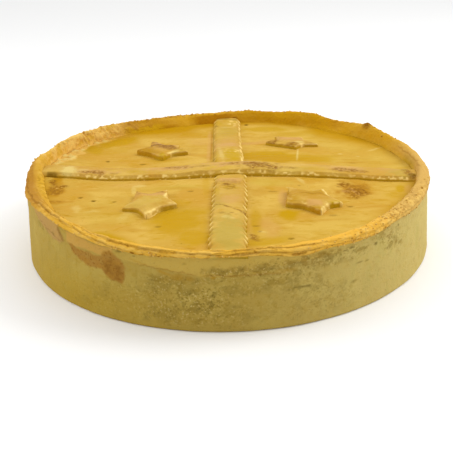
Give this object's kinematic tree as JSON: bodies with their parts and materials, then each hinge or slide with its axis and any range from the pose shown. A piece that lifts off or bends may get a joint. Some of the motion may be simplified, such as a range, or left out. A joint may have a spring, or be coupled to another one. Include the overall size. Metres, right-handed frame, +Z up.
{
  "type": "chicken pie",
  "caption": "Whole round pie with a straight-walled pastry case, hand-rolled uneven rim, glazed lid, fluted pastry ribbons that cross on the lid, and cut-out pastry stars.",
  "frame": {"origin": "middle of the base, on the surface the pie stands on", "axes": "+Z up, -Y towards the front, where the rim is lowest"},
  "size_m": [0.2828, 0.2827, 0.0566],
  "materials": {
    "baked_case": "dry baked pastry, matte, olive beige to golden",
    "glazed_lid": "egg-glazed pastry, satin, golden yellow",
    "glazed_ribbon": "egg-glazed pastry, satin, pale gold",
    "glazed_star": "egg-glazed pastry, satin, pale gold"
  },
  "bodies": {
    "root": {"pie_case": "baked_case", "pie_lid": "glazed_lid", "ribbon_along": "glazed_ribbon", "ribbon_across": "glazed_ribbon", "star_front_left": "glazed_star", "star_front_right": "glazed_star", "star_back_left": "glazed_star", "star_back_right": "glazed_star"}
  },
  "joints": []
}
